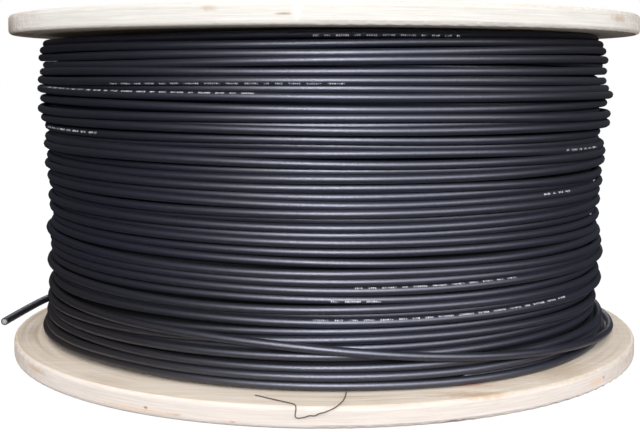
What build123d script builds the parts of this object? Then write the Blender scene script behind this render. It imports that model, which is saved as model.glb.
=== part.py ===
from build123d import *
import os
from math import cos, pi, radians, sin, tan

# Driving dimensions in millimetres. The reel stands on its lower flange, its axis is +Z,
# and the origin is the centre of the lower flange's underside.

FLANGE_DIAMETER = 520.0
FLANGE_THICKNESS = 15.0
RIM_ROUND = 3.0
TRAVERSE = 244.0  # clear width between the flanges
SPINDLE_BORE = 50.0

BARREL_DIAMETER = 200.0
BARREL_WALL = 8.0
BARREL_SEAT = 4.0  # depth of the ring groove that holds the barrel in each flange

ROD_COUNT = 4
ROD_DIAMETER = 8.0
ROD_CIRCLE = 152.0  # diameter of the circle that the rods stand on
ROD_HOLE = 9.0
ROD_START_ANGLE = 45.0
ROD_END_INSET = 0.5  # the rod stops this far below the flange's outer face
POCKET_DIAMETER = 28.0  # counterbore for a washer and a nut
POCKET_DEPTH = 9.5
WASHER_DIAMETER = 24.0
WASHER_THICKNESS = 2.0
NUT_ACROSS_FLATS = 13.0
NUT_HEIGHT = 6.5

CABLE_DIAMETER = 6.0
TURN_ARC = 60.0  # a turn's round shows this far each way from its crest, in degrees
# The outer layer from the lower flange up: number of turns, and radius over the cable
WINDING_ZONES = (
    (4, 235.0),
    (3, 230.5),
    (9, 233.0),
    (6, 230.0),
    (7, 232.0),
    (6, 238.0),
    (3, 235.0),
    (2, 232.5),
)

# Route of the cable's free end, from where it leaves the winding to where it is cut
TAIL_ROUTE = (
    (-227.6, 49.3, 33.4),
    (-239.5, 3.9, 33.6),
    (-247.1, -41.5, 33.0),
    (-253.1, -87.1, 32.2),
)

# Route of a thread that lies over the front edge of the lower flange
THREAD_DIAMETER = 0.8
THREAD_ROUTE = (
    (13.3, -235.5, 15.5),
    (12.0, -245.0, 15.6),
    (9.9, -254.5, 15.9),
    (6.6, -261.8, 15.2),
    (-0.4, -262.6, 12.3),
    (-7.6, -262.4, 10.7),
    (-13.2, -262.2, 9.0),
    (-17.4, -262.2, 8.6),
    (-19.0, -262.2, 12.2),
    (-19.2, -260.6, 16.0),
    (-22.0, -255.5, 16.2),
    (-30.6, -247.2, 15.6),
    (-39.6, -239.9, 15.5),
    (-46.4, -234.6, 15.5),
)

# Worked out from the above

HEIGHT = TRAVERSE + 2 * FLANGE_THICKNESS
TOP_INSIDE = HEIGHT - FLANGE_THICKNESS
BARREL_RADIUS = BARREL_DIAMETER / 2


def tube(outer_radius, inner_radius, z_low, z_high):
    ring = Circle(outer_radius) - Circle(inner_radius)
    return extrude(Pos(0, 0, z_low) * ring, z_high - z_low)


def rod_places():
    """Centre of each tie rod, as locations on the floor plane."""
    for i in range(ROD_COUNT):
        angle = radians(ROD_START_ANGLE + i * 360 / ROD_COUNT)
        yield Pos(ROD_CIRCLE / 2 * cos(angle), ROD_CIRCLE / 2 * sin(angle), 0)


def lower_flange():
    """Plywood disc with a rounded rim, spindle bore, barrel groove and nut pockets."""
    disc = extrude(Circle(FLANGE_DIAMETER / 2), FLANGE_THICKNESS)
    rim_edges = disc.edges().filter_by(GeomType.CIRCLE)
    disc = fillet(rim_edges, RIM_ROUND)
    disc -= extrude(Circle(SPINDLE_BORE / 2), FLANGE_THICKNESS)
    disc -= tube(
        BARREL_RADIUS, BARREL_RADIUS - BARREL_WALL, FLANGE_THICKNESS - BARREL_SEAT, FLANGE_THICKNESS
    )
    for place in rod_places():
        disc -= place * extrude(Circle(ROD_HOLE / 2), FLANGE_THICKNESS)
        disc -= place * extrude(Circle(POCKET_DIAMETER / 2), POCKET_DEPTH)
    return disc


def to_upper_end(shape):
    """The same piece at the other end of the reel, mirrored about its middle."""
    return mirror(shape, Plane.XY.offset(HEIGHT / 2))


def barrel():
    low = FLANGE_THICKNESS - BARREL_SEAT
    return tube(BARREL_RADIUS, BARREL_RADIUS - BARREL_WALL, low, HEIGHT - low)


def tie_rod():
    length = HEIGHT - 2 * ROD_END_INSET
    rod = extrude(Circle(ROD_DIAMETER / 2), length)
    rod = chamfer(rod.edges().filter_by(GeomType.CIRCLE), 0.8)
    return Pos(0, 0, ROD_END_INSET) * rod


def lower_washer():
    return tube(WASHER_DIAMETER / 2, ROD_DIAMETER / 2, POCKET_DEPTH - WASHER_THICKNESS, POCKET_DEPTH)


def lower_nut():
    z_high = POCKET_DEPTH - WASHER_THICKNESS
    hexagon = RegularPolygon(NUT_ACROSS_FLATS / 2, 6, major_radius=False) - Circle(ROD_DIAMETER / 2)
    return extrude(Pos(0, 0, z_high - NUT_HEIGHT) * hexagon, NUT_HEIGHT)


def winding():
    """All the turns as one turned solid, with a round ridge for each turn of the outer layer."""
    crests = [radius for count, radius in WINDING_ZONES for _ in range(count)]
    pitch = TRAVERSE / len(crests)
    half_arc = radians(TURN_ARC)
    rise = CABLE_DIAMETER / 2 * sin(half_arc)
    sink = CABLE_DIAMETER / 2 * (1 - cos(half_arc))

    outline = []
    end = (BARREL_RADIUS, 0, TOP_INSIDE)
    start = (BARREL_RADIUS, 0, FLANGE_THICKNESS)
    at = start
    for i, crest in enumerate(crests):
        z = FLANGE_THICKNESS + (i + 0.5) * pitch
        low = (crest - sink, 0, z - rise)
        high = (crest - sink, 0, z + rise)
        if i == 0:
            foot = (crest - sink, 0, FLANGE_THICKNESS)
            outline.append(Line(at, foot))
            at = foot
        outline += [Line(at, low), ThreePointArc(low, (crest, 0, z), high)]
        at = high
    head = (at[0], 0, TOP_INSIDE)
    outline += [Line(at, head), Line(head, end), Line(end, start)]
    return revolve(make_face(Wire(outline)), Axis.Z, 360)


def route_path(points):
    """Straight runs joined by arcs as large as the two runs at each corner allow."""
    corners = [Vector(*p) for p in points]
    runs = [b - a for a, b in zip(corners, corners[1:])]
    radii = []
    for run_in, run_out in zip(runs, runs[1:]):
        turn = radians(run_in.get_angle(run_out))
        radii.append(0.45 * min(run_in.length, run_out.length) / tan(turn / 2))
    return FilletPolyline(*corners, radius=radii), radii


def cord(points, diameter, name):
    path, radii = route_path(points)
    section = Plane(path @ 0, z_dir=path % 0) * Circle(diameter / 2)
    solid = sweep(section, path=path)
    expected = pi * diameter**2 / 4 * path.length
    print(f"{name}: length {path.length:.1f}, volume {solid.volume / expected:.4f} of section x length")
    print(f"{name}: radii", [round(r, 1) for r in radii])
    return solid


def main():
    pieces = {"bottom_flange": lower_flange(), "barrel": barrel()}
    pieces["top_flange"] = to_upper_end(pieces["bottom_flange"])
    for i, place in enumerate(rod_places(), start=1):
        washer = place * lower_washer()
        nut = place * lower_nut()
        pieces[f"tie_rod_{i}"] = place * tie_rod()
        pieces[f"bottom_washer_{i}"] = washer
        pieces[f"bottom_nut_{i}"] = nut
        pieces[f"top_washer_{i}"] = to_upper_end(washer)
        pieces[f"top_nut_{i}"] = to_upper_end(nut)
    pieces["cable_tail"] = cord(TAIL_ROUTE, CABLE_DIAMETER, "cable_tail")
    pieces["cable_winding"] = winding() - pieces["cable_tail"]
    pieces["loose_thread"] = cord(THREAD_ROUTE, THREAD_DIAMETER, "loose_thread")

    os.makedirs("parts", exist_ok=True)
    for name, shape in pieces.items():
        export_step(shape, f"parts/{name}.step")


main()
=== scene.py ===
import math

import bpy
import numpy as np
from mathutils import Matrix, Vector


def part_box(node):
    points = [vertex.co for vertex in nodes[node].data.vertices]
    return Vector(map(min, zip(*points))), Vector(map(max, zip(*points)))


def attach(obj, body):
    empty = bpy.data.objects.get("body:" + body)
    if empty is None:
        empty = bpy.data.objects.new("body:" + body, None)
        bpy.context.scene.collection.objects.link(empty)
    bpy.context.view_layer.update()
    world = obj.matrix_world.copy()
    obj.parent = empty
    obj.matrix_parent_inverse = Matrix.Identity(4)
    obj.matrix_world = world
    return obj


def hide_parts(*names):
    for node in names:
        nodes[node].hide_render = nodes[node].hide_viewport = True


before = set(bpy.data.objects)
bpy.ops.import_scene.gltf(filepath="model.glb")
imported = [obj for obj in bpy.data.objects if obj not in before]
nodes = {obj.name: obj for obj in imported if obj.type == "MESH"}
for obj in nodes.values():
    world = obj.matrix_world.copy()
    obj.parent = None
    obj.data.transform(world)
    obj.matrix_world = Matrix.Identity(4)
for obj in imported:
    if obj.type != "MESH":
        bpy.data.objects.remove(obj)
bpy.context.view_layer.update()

MM = 0.001

# Sizes read from the frame, in metres
FLOOR_OF_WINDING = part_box("bottom_flange")[1].z
ROOF_OF_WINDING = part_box("top_flange")[0].z
MIDDLE_OF_WINDING = (FLOOR_OF_WINDING + ROOF_OF_WINDING) / 2
BARREL_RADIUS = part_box("barrel")[1].x

# The cable and how it is wound
CABLE = 6.0 * MM
# The neat layer under the ones in view: height and radius of the cable's axis, in mm
UNDER_LAYER = (
    (18, 221),
    (35, 220.5),
    (45, 218.5),
    (70, 219.5),
    (85, 221.5),
    (105, 221.5),
    (115, 218.5),
    (140, 218.5),
    (150, 221),
    (178, 221),
    (190, 219.5),
    (256, 219.5),
)
UNDER_TURNS = 39
STEPS = 220  # points on each turn
ROUND = 10  # points round the cable
LEAD = 37  # points on the last turn that lead it to the tail
SEED = 11
EASE = 9  # points over which a change of height is eased
TAUT = 5  # points on each side of a peak that a taut cable clears with it
FADE = STEPS // 4  # points over which one turn's radius runs into the next one's
TOUCH = 5.7 * MM  # turns lie this close before one rides up on the other
OUT_OF_REACH = -1.0  # height, in metres, of a point where a part turn has no cable
OUTER_SWAY = ((2.37, 0.4), (3.61, 0.3), (5.7, 0.15))  # waves: cycles on each turn, and size in mm
STATIONS = (0.31, 0.5, 0.69)  # where the left, the front and the right lie on a turn
# Turns of the outer layer from the top down: height in mm at the left, the front and the right
OUTER_TURNS = (
    (252, 254, 256), (246, 248, 252), (240, 242, 246), (234.4, 236, 240),
    (228.8, 230, 230), (223, 224, 222), (216, 212, 212), (208, 205, 204),
    (200, 199, 196), (193, 191, 189), (186, 185, 181), (178, 175, 172),
    (172, 169, 166), (162, 158, 159), (156, 152, 150), (146, 141, 141),
    (140, 135, 135), (130, 125, 127), (121, 116, 113), (115, 109, 106),
    (109, 102, 100), (102, 95, 93), (90, 83, 84), (83, 77, 77),
    (76, 71, 70), (66, 62, 63), (53, 56, 56), (47, 51, 49),
    (41, 39, 40), (35, 31, 33), (28, 25, 27), (22, 19, 19),
)
OPEN_GAP = 7.5  # turns further apart than this, in mm, show another one lying deeper between them
# A layer more under the upper turns, from its lowest turn up
EXTRA_TURNS = (
    (202, 197, 192), (209, 203, 198), (215, 210, 204), (222, 216, 210),
    (229, 222, 216), (236, 229, 222), (243, 235, 228), (249, 241, 234),
)
EXTRA_END = ((0, 242),)
# Part turns under the lowest ones, from the right by the back: angle from the back and mm
LOW_TURNS = (
    ((205, 20), (250, 20), (290, 22), (360, 27), (430, 26), (464, 25), (485, 25)),
    ((205, 29), (250, 29), (300, 31), (360, 34), (430, 34)),
)
LOW_GAP = 32  # no deeper turn lies under this height, in mm
# The last turn, thrown over the others: angle from the back and height in mm
LAST_TURN = (
    (-88, 20),
    (-45, 32),
    (0, 42),
    (79, 59),
    (104, 58),
    (162, 53),
    (177, 49.5),
    (186, 43),
    (196, 37.5),
    (211, 33),
    (222, 29.5),
    (250, 22),
    (270, 20),
    (360, 26),
    (437.8, 33.4),
)

# Where worn print shows: turn of the outer layer, angles from the back, and how far it is rolled up
PRINT_RUNS = (
    (0, 178, 204, -25),
    (5, 141, 182, -40),
    (6, 114, 167, 50),
    (10, 111, 135, 10),
    (11, 229, 243, 0),
    (15, 223, 231, 30),
    (22, 185, 214, 55),
    (23, 181, 189, -10),
    (25, 178, 229, 50),
    (8, 300, 340, 20),
    (3, 10, 52, -10),
    (17, 330, 372, 30),
    (20, 20, 60, 0),
    (27, 290, 345, 40),
)
TICK_TALL = 1.3 * MM
PRINT_THICK = 0.03 * MM
TICK_LONG = (0.5, 1.1)  # shortest and longest tick, in mm
TICK_GAP = 0.6  # between ticks, in mm
WORD_GAP = 3.5  # between groups of ticks, in mm
WORD = (3, 9)  # fewest ticks in a group, and one more than the most

# Route of the cable's free end, and of the thread on the lower flange, in millimetres
TAIL_ROUTE = (
    (-227.6, 49.3, 33.4),
    (-239.5, 3.9, 33.6),
    (-247.1, -41.5, 33.0),
    (-253.1, -87.1, 32.2),
)
INSULATION = 4.6  # over the insulation and over one strand, in mm
STRAND = 0.8
INSULATION_RISE = 0.1  # how far insulation and strands stand out of the cut, in mm
STRAND_RISE = 0.2
CUT_DEPTH = 0.2  # how far both go back into the cable, in mm
STRAND_RINGS = ((1, 0.0), (6, 0.85), (10, 1.6))  # number of strands and radius they lie on, in mm
DISC_SIDES = 20
THREAD = 0.8 * MM
THREAD_ROUTE = (
    (14.4, -227.5, 15.5),
    (12.6, -245.0, 15.6),
    (9.9, -254.5, 15.9),
    (6.6, -261.8, 15.2),
    (-0.4, -262.6, 12.3),
    (-4.2, -262.4, 11.5),
    (-6.9, -262.3, 9.7),
    (-9.9, -262.3, 10.3),
    (-14.0, -262.2, 8.6),
    (-19.7, -262.2, 8.2),
    (-18.8, -262.2, 13.8),
    (-19.0, -260.8, 16.8),
    (-21.4, -256.4, 16.3),
    (-30.6, -247.2, 15.6),
    (-39.6, -239.9, 15.5),
    (-46.4, -234.6, 15.5),
)

# Plywood: thickness of a ply, and marks seen on it, one of them painted shade: centre, reach, colour and strength
PLY = 3.0 * MM
WOOD_MARKS_AND_SHADE = (
    ((-120, -231, 6), (2.0, 2.0, 1.1), (140, 104, 80), 0.9),  # small knots on the lower rim
    ((-60, -253, 3), (2.6, 2.6, 1.0), (206, 150, 138), 0.9),
    ((203, -163, 8), (2.0, 2.0, 1.2), (150, 118, 92), 0.8),
    ((195, -172, 7), (13, 13, 3.6), (228, 192, 156), 0.6),
    ((-214, -147, 10), (22, 24, 2.6), (200, 168, 140), 0.6),  # streaks on the lower rim
    ((-130, -225, 4), (56, 36, 1.2), (222, 182, 144), 0.6),
    ((-98, -240, 4), (8, 5, 1.4), (188, 156, 124), 0.6),
    # painted shade along the lower edge of the rim, on the right, where it meets the floor
    ((88, -244, 1), (24, 12, 1.4), (120, 106, 96), 0.7),
    ((100, -232, 15), (40, 10, 4), (200, 162, 126), 0.6),  # stains on the lower flange
    ((99, -210, 15), (22, 7, 4), (226, 172, 140), 0.6),
    ((168, -176, 15), (34, 40, 4), (196, 172, 144), 0.45),
    ((-74, -249, 270), (8, 6, 2.4), (196, 180, 162), 0.7),  # marks on the upper rim
    ((-26, -259, 266), (7, 4, 1.2), (160, 140, 116), 0.8),
    ((-17.8, -259, 270), (3.6, 5, 10), (255, 252, 244), 0.4),
    ((213, -149, 268), (16, 20, 3.4), (186, 156, 130), 0.6),
    ((-246, -84, 264), (34, 54, 10), (134, 120, 110), 0.75),
)

# Photograph and camera
IMAGE_WIDTH = 640
IMAGE_HEIGHT = 432
FOCAL_PIXELS = 1140.2
AXIS_ROW = 150  # image row that the camera's axis meets
CAMERA_PLACE = (-0.0034, -0.9781, 0.2297)
CAMERA_PITCH = 3.94  # degrees below level

# Strength of the white surroundings, on matt surfaces and in reflections
AMBIENT = 0.84
REFLECTED = 0.1
HORIZON = -0.1  # upward part of a direction where the surroundings start to shine, and where they shine in full
OVERHEAD = 0.8

# Lamps, in metres and watts
LAMP_TARGET = (0, 0, 0.13)
LAMP_TALL = 0.9
KEY_PLACE = (-0.02, -2.2, 0.95)
KEY_WIDE = 1.4
KEY_POWER = 35
# Lamps that only show as reflections: name, place, width and power
GLOSS_LAMPS = (
    ("gloss_front", (0.05, -2.2, 0.95), 0.8, 60),
    ("gloss_right", (1.55, -1.6, 0.95), 1.5, 34),
    ("gloss_back", (0.2, 1.6, 1.9), 1.2, 55),
)
# Lamps that show no reflection: name, place and power
FILL_LAMPS = (("fill_left", (-1.7, -1.2, 0.35), 16), ("fill_right", (1.7, -1.2, 0.35), 19.5))
FILL_TARGET = (0, 0, 0.1)
FILL_SIZE = (1.0, 0.6)

# Floor: its side in metres, its colour, its colour in reflections, and how white the camera sees it
FLOOR_SIDE = 14
FLOOR_TONE = (0.12, 0.12, 0.12, 1.0)
FLOOR_REFLECTED = (0.04, 0.04, 0.04, 1.0)
FLOOR_SEEN = 0.95


# Small helpers


def link(obj):
    """Puts an object into the scene."""
    bpy.context.scene.collection.objects.link(obj)
    return obj


class Nodes:
    """Short calls to add and join the nodes of a tree."""

    def __init__(self, tree):
        self.tree = tree

    def put(self, socket, value):
        if isinstance(value, bpy.types.NodeSocket):
            self.tree.links.new(value, socket)
        else:
            socket.default_value = value

    def add(self, kind, inputs=None, **settings):
        node = self.tree.nodes.new(kind)
        for key, value in settings.items():
            setattr(node, key, value)
        for key, value in (inputs or {}).items():
            self.put(node.inputs[key], value)
        return node

    def math(self, operation, a, b=0.0):
        return self.add("ShaderNodeMath", {0: a, 1: b}, operation=operation).outputs[0]

    def noise(self, vector, scale, detail=4.0, roughness=0.5):
        inputs = {"Vector": vector, "Scale": scale, "Detail": detail, "Roughness": roughness}
        return self.add("ShaderNodeTexNoise", inputs).outputs["Fac"]

    def stretch(self, vector, scale):
        return self.add("ShaderNodeMapping", {"Vector": vector, "Scale": scale}).outputs[0]

    def vector(self, operation, a, b):
        return self.add("ShaderNodeVectorMath", {0: a, 1: b}, operation=operation).outputs[0]

    def split(self, vector):
        return self.add("ShaderNodeSeparateXYZ", {0: vector}).outputs[:]

    def join(self, x, y, z):
        return self.add("ShaderNodeCombineXYZ", {0: x, 1: y, 2: z}).outputs[0]

    def ramp(self, factor, low, high, out_low=0.0, out_high=1.0):
        inputs = {"Value": factor, "From Min": low, "From Max": high, "To Min": out_low, "To Max": out_high}
        return self.add("ShaderNodeMapRange", inputs, clamp=True).outputs[0]

    def mix(self, factor, a, b):
        node = self.add("ShaderNodeMix", data_type="RGBA")
        self.put(node.inputs[0], factor)
        self.put(node.inputs[6], a)
        self.put(node.inputs[7], b)
        return node.outputs[2]


class Shader(Nodes):
    """A material and the nodes of its surface."""

    def __init__(self, name):
        self.material = bpy.data.materials.new(name)
        self.material.use_nodes = True
        super().__init__(self.material.node_tree)
        self.bsdf = self.tree.nodes["Principled BSDF"]

    def place(self):
        """Where a point lies on the object, in metres."""
        return self.add("ShaderNodeTexCoord").outputs["Object"]

    def bump(self, height, distance, strength=1.0):
        inputs = {"Height": height, "Distance": distance, "Strength": strength}
        self.put(self.bsdf.inputs["Normal"], self.add("ShaderNodeBump", inputs).outputs[0])

    def set(self, **inputs):
        for key, value in inputs.items():
            self.put(self.bsdf.inputs[key.replace("_", " ")], value)


def srgb(r, g, b):
    """A colour given as 0 to 255, as a linear RGBA tuple."""
    parts = [c / 255 for c in (r, g, b)]
    return tuple(c / 12.92 if c <= 0.04045 else ((c + 0.055) / 1.055) ** 2.4 for c in parts) + (1.0,)


# Materials


def plywood():
    """Pale plywood: straight grain, patches of rings on the inner faces, ply lines on the rim, and a few marks,
    one of them painted shade along the lower rim's edge.
    """
    m = Shader("plywood")
    place = m.place()
    x, y, z = m.split(place)
    radius = m.math("SQRT", m.math("ADD", m.math("MULTIPLY", x, x), m.math("MULTIPLY", y, y)))
    up = m.math("ABSOLUTE", m.split(m.add("ShaderNodeNewGeometry").outputs["Normal"])[2])
    on_rim = m.ramp(up, 0.7, 0.97, 1.0, 0.0)
    wander = m.noise(place, 9.0, 3.0)

    grain = m.noise(m.stretch(place, (6, 150, 150)), 2.2, 6.0, 0.6)
    fibre = m.noise(m.stretch(place, (25, 900, 900)), 1.6, 3.0, 0.7)
    face = m.mix(m.ramp(grain, 0.35, 0.68), srgb(238, 222, 204), srgb(250, 240, 227))
    around = m.join(m.math("MULTIPLY", radius, 150.0), m.math("DIVIDE", x, radius), m.math("DIVIDE", y, radius))
    rings = m.ramp(m.noise(around, 1.7, 4.0, 0.6), 0.42, 0.66, 0.0, 0.7)
    from_middle = m.math("ABSOLUTE", m.math("SUBTRACT", z, MIDDLE_OF_WINDING))
    inner_face = ROOF_OF_WINDING - MIDDLE_OF_WINDING
    inside = m.ramp(from_middle, inner_face, inner_face + PLY, 1.0, 0.0)
    in_patches = m.math("MULTIPLY", m.ramp(wander, 0.42, 0.6, 0.25, 1.0), inside)
    face = m.mix(m.math("MULTIPLY", rings, in_patches), face, srgb(206, 184, 160))
    face = m.mix(m.ramp(wander, 0.55, 0.75, 0.0, 0.3), face, srgb(212, 186, 158))

    shaken = m.math("ADD", z, m.math("MULTIPLY", m.math("SUBTRACT", wander, 0.5), 0.004))
    ply = m.math("FRACT", m.math("MULTIPLY", shaken, 1 / PLY))
    ply_line = m.ramp(m.math("ABSOLUTE", m.math("SUBTRACT", ply, 0.5)), 0.36, 0.5, 0.0, 0.2)
    streak = m.noise(m.stretch(place, (14, 14, 420)), 2.0, 5.0, 0.65)
    upper = m.ramp(z, FLOOR_OF_WINDING, ROOF_OF_WINDING)
    dark_streak = m.mix(upper, srgb(211, 201, 194), srgb(206, 202, 197))
    pale_streak = m.mix(upper, srgb(230, 221, 214), srgb(225, 222, 217))
    rim = m.mix(m.ramp(streak, 0.3, 0.7), dark_streak, pale_streak)
    rim = m.mix(ply_line, rim, srgb(204, 180, 158))
    end_grain = m.ramp(m.math("ABSOLUTE", m.math("DIVIDE", x, radius)), 0.75, 0.95)
    mottle = m.ramp(m.noise(place, 160.0, 5.0, 0.7), 0.4, 0.65, 0.1, 0.7)
    rim = m.mix(m.math("MULTIPLY", end_grain, mottle), rim, srgb(176, 155, 138))

    tone = m.mix(on_rim, face, rim)
    ragged = m.ramp(m.noise(place, 240.0, 4.0, 0.6), 0.3, 0.7, -0.25, 0.25)
    # Marks of the wood, and painted shade along the lower rim's edge
    for centre, reach, colour, strength in WOOD_MARKS_AND_SHADE:
        shift = m.vector("SUBTRACT", place, tuple(c * MM for c in centre))
        shift = m.vector("DIVIDE", shift, tuple(c * MM for c in reach))
        near = m.add("ShaderNodeVectorMath", {0: shift}, operation="LENGTH").outputs["Value"]
        mask = m.ramp(m.math("ADD", near, ragged), 0.2, 1.0, strength, 0.0)
        tone = m.mix(mask, tone, srgb(*colour))
    m.set(Base_Color=tone, Roughness=0.85, Specular_IOR_Level=0.03)
    relief = m.math("ADD", m.math("MULTIPLY", fibre, 0.5), m.math("MULTIPLY", streak, 0.5))
    m.bump(relief, 0.0004, 0.5)
    return m.material


def sheath():
    """Black cable sheath with a soft sheen, and a painted brown reflection of the wood low at the left."""
    m = Shader("cable_sheath")
    place = m.place()
    cloud = m.noise(place, 7.0, 2.0)
    fine = m.noise(place, 900.0, 3.0)
    x, _, z = m.split(place)
    tone = m.mix(m.ramp(cloud, 0.4, 0.62), srgb(10, 10, 21), srgb(6, 10, 27))
    # Painted reflection: the wood's warm bounce light, painted brown into the sheath low at the left.
    painted_wood_bounce = m.math("MULTIPLY", m.ramp(x, -0.03, -0.2), m.ramp(z, 0.1, 0.02))
    tone = m.mix(painted_wood_bounce, tone, srgb(24, 17, 12))
    m.set(Base_Color=tone, IOR=1.925, Specular_Tint=(0.82, 0.84, 1.0, 1.0))
    m.set(Roughness=m.ramp(fine, 0.3, 0.7, 0.46, 0.52))
    m.bump(fine, 0.00005, 0.4)
    return m.material


def painted_shade_sheath():
    """The same sheath deep between the turns, with painted shade: darker and duller than the sheath in view."""
    m = Shader("painted_shade_sheath")
    place = m.place()
    # Painted shade: a darker base colour than the sheath's, so the gaps between the turns look deep in shadow.
    m.set(Base_Color=m.mix(m.noise(place, 60.0), srgb(4, 4, 8), srgb(9, 9, 15)), Roughness=0.8)
    m.set(Specular_IOR_Level=0.2)
    return m.material


def white_print():
    """Worn white ink."""
    m = Shader("white_print")
    place = m.place()
    wear = m.noise(place, 420.0, 3.0, 0.6)
    m.set(Base_Color=m.mix(m.ramp(wear, 0.35, 0.6), srgb(70, 70, 76), srgb(226, 227, 230)), Roughness=0.6)
    return m.material


def bare_board():
    """Rolled board of the barrel."""
    m = Shader("barrel_board")
    place = m.place()
    streak = m.noise(m.stretch(place, (120, 120, 5)), 2.0, 5.0, 0.6)
    m.set(Base_Color=m.mix(m.ramp(streak, 0.3, 0.7), srgb(172, 142, 108), srgb(200, 172, 138)), Roughness=0.7)
    m.bump(streak, 0.0003, 0.4)
    return m.material


def zinc():
    """Zinc-plated steel."""
    m = Shader("zinc_steel")
    place = m.place()
    cloud = m.noise(place, 160.0, 4.0)
    m.set(Base_Color=m.mix(cloud, srgb(168, 168, 170), srgb(206, 205, 200)), Metallic=1.0)
    m.set(Roughness=m.ramp(cloud, 0.3, 0.7, 0.28, 0.48))
    return m.material


def insulation():
    """Pale insulation round the strands, seen where the cable is cut."""
    m = Shader("insulation")
    place = m.place()
    m.set(Base_Color=m.mix(m.noise(place, 900.0), srgb(58, 58, 60), srgb(104, 104, 106)), Roughness=0.6)
    return m.material


def tinned_copper():
    """Bright strand ends."""
    m = Shader("tinned_copper")
    place = m.place()
    m.set(Base_Color=m.mix(m.noise(place, 700.0), srgb(186, 184, 180), srgb(228, 226, 222)), Metallic=0.6)
    m.set(Roughness=0.5)
    return m.material


def dark_thread():
    """Twisted dark thread."""
    m = Shader("thread")
    twist = m.noise(m.place(), 1500.0, 2.0)
    m.set(Base_Color=m.mix(twist, srgb(70, 64, 60), srgb(110, 100, 92)), Roughness=0.9)
    m.bump(twist, 0.0001, 0.6)
    return m.material


# The winding


def smooth(values, reach):
    """Gaussian smoothing along a path whose ends are held."""
    offsets = np.arange(-3 * reach, 3 * reach + 1)
    weights = np.exp(-0.5 * (offsets / reach) ** 2)
    padded = np.pad(values, 3 * reach, mode="edge")
    return np.convolve(padded, weights / weights.sum(), mode="valid")


def envelope(values, reach):
    """A smooth line that passes over every peak of values, as a taut cable does."""
    padded = np.pad(values, reach, mode="edge")
    peaks = np.max(np.lib.stride_tricks.sliding_window_view(padded, 2 * reach + 1), axis=1)
    return smooth(peaks, reach)


class Winding:
    """Turns laid one after another, each resting on the turns under it."""

    def __init__(self):
        self.rows_z = []
        self.rows_r = []

    def rest_radius(self, z):
        """Radius at which a cable at heights z rests on everything laid so far."""
        heights, radii = np.array(UNDER_LAYER).T * MM
        radius = np.interp(z, heights, radii)
        if self.rows_z:
            gap = np.abs(np.array(self.rows_z) - z)
            lift = np.sqrt(np.maximum(TOUCH**2 - gap**2, 0.0))
            touch = np.where(gap < TOUCH, np.array(self.rows_r) + lift, 0.0)
            radius = np.maximum(radius, touch.max(axis=0))
        return radius

    def lay(self, heights, first):
        """Lays one cable, its heights given point by point from point first, and returns z and radius."""
        last = first + len(heights)
        path = np.pad(heights, (first, -last % STEPS), mode="edge")
        fade = 0.5 + 0.5 * np.cos(np.linspace(0, math.pi, FADE))
        all_z, all_r = [], []
        for k in range(len(path) // STEPS):
            z = path[k * STEPS : (k + 1) * STEPS]
            r = envelope(self.rest_radius(z), TAUT)
            if all_r:
                step = all_r[-1][-1] - r[0]
                if step > 0:
                    r[:FADE] += step * fade
                else:
                    all_r[-1][-FADE:] -= step * fade[::-1]
            all_z.append(z)
            all_r.append(r)
            point = np.arange(k * STEPS, (k + 1) * STEPS)
            self.rows_z.append(np.where((point >= first) & (point < last), z, OUT_OF_REACH))
            self.rows_r.append(r)
        return np.concatenate(all_z)[first:last], np.concatenate(all_r)[first:last]


def turn_angles(count, first=0):
    """Angle of each point: turns start at the back and run by the left, the front and the right."""
    return math.pi / 2 + 2 * math.pi * (first + np.arange(count)) / STEPS


def through(knots, first):
    """Heights in metres, point by point, through knots of turn number and millimetres."""
    turn, height = np.array(knots).T
    point = np.arange(first, int(turn[-1] * STEPS))
    return smooth(np.interp(point / STEPS, turn, height) * MM, EASE)


def sway(count, rng, waves):
    """Sideways drift of a cable that was not guided evenly: waves of cycles on each turn and millimetres."""
    t = np.arange(count) / STEPS
    return sum(size * MM * np.cos(2 * math.pi * (rate * t + rng.random())) for rate, size in waves)


def unit(vectors):
    """The same directions at length one."""
    return vectors / np.linalg.norm(vectors, axis=1)[:, None]


def path_of(z, r, first=0):
    """Centre and outward direction at each point of a cable on the winding, from its heights and radii."""
    angle = turn_angles(len(z), first)
    outward = np.stack([np.cos(angle), np.sin(angle), np.zeros(len(z))], axis=1)
    centres = outward * r[:, None]
    centres[:, 2] = z
    return centres, outward


def tube_mesh(name, centres, outward):
    """A round cable along centres, closed at both ends."""
    along = unit(np.gradient(centres, axis=0))
    side = unit(np.cross(along, outward))
    out = np.cross(side, along)
    angles = 2 * math.pi * np.arange(ROUND) / ROUND
    ring = out[:, None, :] * np.cos(angles)[None, :, None] + side[:, None, :] * np.sin(angles)[None, :, None]
    points = (centres[:, None, :] + CABLE / 2 * ring).reshape(-1, 3)

    count = len(centres)
    a = (np.arange(count - 1)[:, None] * ROUND + np.arange(ROUND)[None, :]).reshape(-1)
    b = (np.arange(count - 1)[:, None] * ROUND + (np.arange(ROUND)[None, :] + 1) % ROUND).reshape(-1)
    faces = np.stack([a, b, b + ROUND, a + ROUND], axis=1).tolist()
    faces.append(list(range(ROUND))[::-1])
    faces.append(list(range((count - 1) * ROUND, count * ROUND)))
    mesh = bpy.data.meshes.new(name)
    mesh.from_pydata(points.tolist(), [], faces)
    mesh.polygons.foreach_set("use_smooth", [True] * len(faces))
    mesh.update()
    return link(bpy.data.objects.new(name, mesh))


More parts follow.
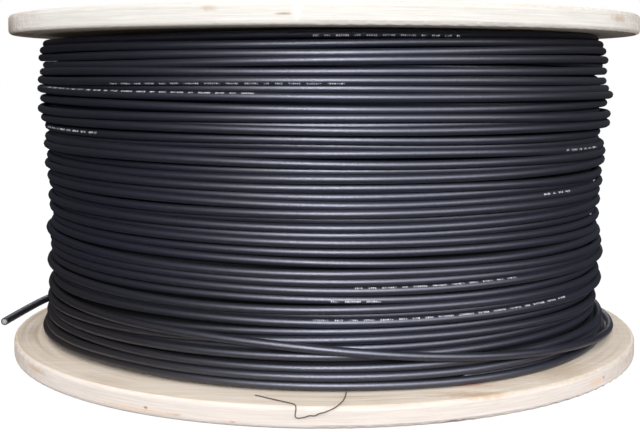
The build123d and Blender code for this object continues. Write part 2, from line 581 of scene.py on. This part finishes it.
def lathe(name, profile, sides=96):
    """A closed ring turned about Z from points of radius and height round its section."""
    angles = 2 * math.pi * np.arange(sides) / sides
    points = [(r * math.cos(a), r * math.sin(a), z) for r, z in profile for a in angles]
    faces = []
    for i in range(len(profile)):
        above = (i + 1) % len(profile) * sides
        for j in range(sides):
            k = (j + 1) % sides
            faces.append((i * sides + j, i * sides + k, above + k, above + j))
    mesh = bpy.data.meshes.new(name)
    mesh.from_pydata(points, [], faces)
    mesh.polygons.foreach_set("use_smooth", [True] * len(faces))
    return link(bpy.data.objects.new(name, mesh))


def dress(piece, material):
    """Gives a piece its material and its slot, and lets it ride on the reel."""
    piece.data.materials.append(material)
    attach(piece, "root")


def cable_object(name, z, r, first, material):
    """A piece of cable on the winding."""
    piece = tube_mesh(name, *path_of(z, r, first))
    dress(piece, material)
    return piece


def turn_knots(turns, ending=()):
    """Knots for through(): each turn by its height at the left, the front and the right."""
    knots = [(k + part, height) for k, turn in enumerate(turns) for part, height in zip(STATIONS, turn)]
    return knots + [(len(turns) + angle / 360, height) for angle, height in ending]


def deep_turns():
    """A turn midway between each two outer turns that leave a gap at the front."""
    pairs = [(np.array(a), np.array(b)) for a, b in zip(OUTER_TURNS, OUTER_TURNS[1:])]
    return [(a + b) / 2 for a, b in pairs if a[1] - b[1] > OPEN_GAP and b[1] > LOW_GAP]


def lead_to_tail(r):
    """Brings the end of the last turn out to where the tail starts, over its last LEAD points."""
    to_tail = math.hypot(*TAIL_ROUTE[0][:2]) * MM - r[-1]
    r[-LEAD:] += to_tail * np.linspace(0, 1, LEAD) ** 2


def build_winding(material, deep_shade_material):
    """The core and the layers of cable on it, and the heights and radii of the outer layer."""
    rng = np.random.default_rng(SEED)
    low, high = (FLOOR_OF_WINDING + CABLE / 2) / MM, (ROOF_OF_WINDING - CABLE / 2) / MM
    winding = Winding()
    part_turns = {f"cable_low_turn_{i}": turn_knots((), turn) for i, turn in enumerate(LOW_TURNS, start=1)}
    layers = {
        "cable_under_turns": ((0, low), (UNDER_TURNS, high)),
        "cable_extra_turns": turn_knots(EXTRA_TURNS, EXTRA_END),
        "cable_deep_turns": turn_knots(deep_turns()),
        **part_turns,
        "cable_outer_turns": turn_knots(OUTER_TURNS, LAST_TURN),
    }
    outside = [(r * MM, z * MM) for z, r in UNDER_LAYER]
    bottom, top = outside[0][1], outside[-1][1]
    core = lathe("cable_core", [(BARREL_RADIUS, bottom), *outside, (BARREL_RADIUS, top)])
    dress(core, deep_shade_material)
    for name, knots in layers.items():
        first = int(knots[0][0] * STEPS) if name in part_turns else 0
        path = through(knots, first)
        if name != "cable_under_turns":
            path += sway(len(path), rng, OUTER_SWAY)
        z, r = winding.lay(np.clip(path, low * MM, high * MM), first)
        if name == "cable_outer_turns":
            lead_to_tail(r)
        piece = cable_object(name, z, r, first, deep_shade_material if name == "cable_under_turns" else material)
    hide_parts("cable_winding")
    return z, r


# Print


def path_frame(z, r):
    """Centre, and the outward and upward directions across the cable, at each point of a path."""
    centres, outward = path_of(z, r)
    along = unit(np.gradient(centres, axis=0))
    up = unit(np.cross(outward, along))
    return centres, np.cross(along, up), up


def build_print(z, r, material):
    """Rows of plain ticks on the sheath, where the photograph shows lettering that is not copied."""
    rng = np.random.default_rng(SEED)
    centre, out, up = path_frame(z, r)
    half = TICK_TALL / CABLE  # half the tick's height, as an angle round the cable
    points, faces = [], []

    def across(place, roll):
        """Three points across the print line, place being a point number with a fraction."""
        i, part = int(place), place % 1
        middle, outward, upward = [a[i] * (1 - part) + a[i + 1] * part for a in (centre, out, up)]
        for turn in (roll - half, roll, roll + half):
            yield middle + (CABLE / 2 + PRINT_THICK) * (outward * math.cos(turn) + upward * math.sin(turn))

    for turn, start, end, roll in PRINT_RUNS:
        step = STEPS / (2 * math.pi * r[turn * STEPS]) * MM  # points on the path for one millimetre
        place, stop = (turn + start / 360) * STEPS, (turn + end / 360) * STEPS
        while place < stop:
            for _ in range(rng.integers(*WORD)):
                long = rng.uniform(*TICK_LONG) * step
                first = len(points)
                points += [*across(place, math.radians(roll)), *across(place + long, math.radians(roll))]
                faces += [(first, first + 3, first + 4, first + 1), (first + 1, first + 4, first + 5, first + 2)]
                place += long + TICK_GAP * step
            place += WORD_GAP * step
    mesh = bpy.data.meshes.new("print_ticks")
    mesh.from_pydata([tuple(point) for point in points], [], faces)
    dress(link(bpy.data.objects.new("print_ticks", mesh)), material)


# Cords


def cord_curve(name, route, diameter, material):
    """A round cord on a smooth curve whose control points are the route."""
    curve = bpy.data.curves.new(name, "CURVE")
    curve.dimensions = "3D"
    spline = curve.splines.new("NURBS")
    spline.points.add(len(route) - 1)
    for point, place in zip(spline.points, route):
        point.co = (*[c * MM for c in place], 1.0)
    spline.order_u = 3
    spline.use_endpoint_u = True
    spline.resolution_u = 16
    curve.bevel_depth = diameter / 2
    curve.bevel_resolution = 4
    curve.use_fill_caps = True
    curve.materials.append(material)
    cord = link(bpy.data.objects.new(name, curve))
    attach(cord, "root")
    return cord


def cut_end(tip, before, materials):
    """The cut face of the cable: pale insulation and the ends of the strands in it."""
    axis = Vector(tip) - Vector(before)
    turn = axis.to_track_quat("Z", "Y")
    discs = [(0.0, 0.0, INSULATION / 2, INSULATION_RISE, 0)]
    for count, ring in STRAND_RINGS:
        for i in range(count):
            angle = 2 * math.pi * i / count
            discs.append((ring * math.cos(angle), ring * math.sin(angle), STRAND / 2, STRAND_RISE, 1))
    around = [2 * math.pi * i / DISC_SIDES for i in range(DISC_SIDES)]
    points, faces, slots = [], [], []
    for x, y, radius, rise, slot in discs:
        low = [len(points) + i for i in range(DISC_SIDES)]
        top = [i + DISC_SIDES for i in low]
        for z in (-CUT_DEPTH, rise):
            corners = [(x + radius * math.cos(a), y + radius * math.sin(a), z) for a in around]
            points += [Vector(tip) * MM + turn @ Vector(corner) * MM for corner in corners]
        faces.append(top)
        for i in range(DISC_SIDES):
            k = (i + 1) % DISC_SIDES
            faces.append((low[i], low[k], top[k], top[i]))
        slots += [slot] * (1 + DISC_SIDES)
    mesh = bpy.data.meshes.new("cable_cut_end")
    mesh.from_pydata(points, [], faces)
    for material in materials:
        mesh.materials.append(material)
    mesh.polygons.foreach_set("material_index", slots)
    piece = link(bpy.data.objects.new("cable_cut_end", mesh))
    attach(piece, "root")
    return piece


def build_cords(cable_material, thread_material, end_materials):
    """The cable's free end with its cut face, and the thread."""
    tail = cord_curve("cable_tail_cord", TAIL_ROUTE, CABLE, cable_material)
    end = cut_end(TAIL_ROUTE[-1], TAIL_ROUTE[-2], end_materials)
    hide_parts("cable_tail")

    thread = cord_curve("loose_thread_cord", THREAD_ROUTE, THREAD, thread_material)
    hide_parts("loose_thread")


# Stage, light and camera


def build_stage():
    """A floor that the camera sees as white and that still takes the object's shadow."""
    bpy.ops.mesh.primitive_plane_add(size=FLOOR_SIDE, location=(0, 0, 0))
    floor = bpy.context.object
    floor.name = "floor"
    m = Shader("floor")
    ray = m.add("ShaderNodeLightPath").outputs
    tone = m.mix(ray["Is Glossy Ray"], FLOOR_TONE, FLOOR_REFLECTED)
    m.set(Base_Color=tone, Roughness=1.0, Specular_IOR_Level=0.0)
    m.set(Emission_Color=(1, 1, 1, 1), Emission_Strength=m.math("MULTIPLY", ray["Is Camera Ray"], FLOOR_SEEN))
    floor.data.materials.append(m.material)


def area_light(name, place, target, size, power):
    """A rectangular lamp at place, turned to target."""
    light = bpy.data.lights.new(name, "AREA")
    light.shape = "RECTANGLE"
    light.size, light.size_y = size
    light.energy = power
    obj = link(bpy.data.objects.new(name, light))
    obj.location = place
    aim = np.array(target) - np.array(place)
    flat = math.hypot(aim[0], aim[1])
    obj.rotation_euler = (math.pi / 2 + math.atan2(aim[2], flat), 0, math.atan2(aim[1], aim[0]) - math.pi / 2)
    return obj


def build_light():
    """White surroundings that shine from above, a soft lamp in front, fills, and lamps for the sheen."""
    world = bpy.data.worlds.new("world")
    bpy.context.scene.world = world
    world.use_nodes = True
    m = Nodes(world.node_tree)
    ray = m.add("ShaderNodeLightPath").outputs
    upward = m.split(m.add("ShaderNodeTexCoord").outputs["Generated"])[2]
    matt = m.math("MULTIPLY", ray["Is Diffuse Ray"], AMBIENT)
    shiny = m.math("MULTIPLY", ray["Is Glossy Ray"], REFLECTED)
    shine = m.math("MULTIPLY", m.math("ADD", matt, shiny), m.ramp(upward, HORIZON, OVERHEAD))
    background = m.tree.nodes["Background"].inputs
    m.put(background["Strength"], m.math("ADD", shine, ray["Is Camera Ray"]))
    m.put(background["Color"], (1, 1, 1, 1))

    area_light("key", KEY_PLACE, LAMP_TARGET, (KEY_WIDE, LAMP_TALL), KEY_POWER)
    for name, place, width, power in GLOSS_LAMPS:
        area_light(name, place, LAMP_TARGET, (width, LAMP_TALL), power).visible_diffuse = False
    for name, place, power in FILL_LAMPS:
        area_light(name, place, FILL_TARGET, FILL_SIZE, power).visible_glossy = False


def build_camera():
    """A camera with the photograph's viewing angle and framing."""
    camera = bpy.data.cameras.new("camera")
    camera.sensor_fit = "HORIZONTAL"
    camera.sensor_width = 36
    camera.lens = FOCAL_PIXELS / IMAGE_WIDTH * camera.sensor_width
    camera.shift_y = (AXIS_ROW - IMAGE_HEIGHT / 2) / IMAGE_WIDTH
    camera.clip_start = 0.01
    obj = link(bpy.data.objects.new("camera", camera))
    obj.location = CAMERA_PLACE
    obj.rotation_euler = (math.radians(90 - CAMERA_PITCH), 0, 0)
    bpy.context.scene.camera = obj


def dress_cad_nodes():
    """Materials of the CAD nodes that stay in view."""
    board, steel, wood = bare_board(), zinc(), plywood()
    for name, node in nodes.items():
        if name in ("bottom_flange", "top_flange"):
            material = wood
        elif name == "barrel":
            material = board
        elif name.startswith(("tie_rod", "top_", "bottom_")):
            material = steel
        else:
            continue
        node.data.materials.clear()
        node.data.materials.append(material)


black = sheath()
build_camera()
build_cords(black, dark_thread(), (insulation(), tinned_copper()))
build_print(*build_winding(black, painted_shade_sheath()), white_print())
dress_cad_nodes()
build_stage()
build_light()
bpy.context.scene.view_settings.view_transform = "Standard"
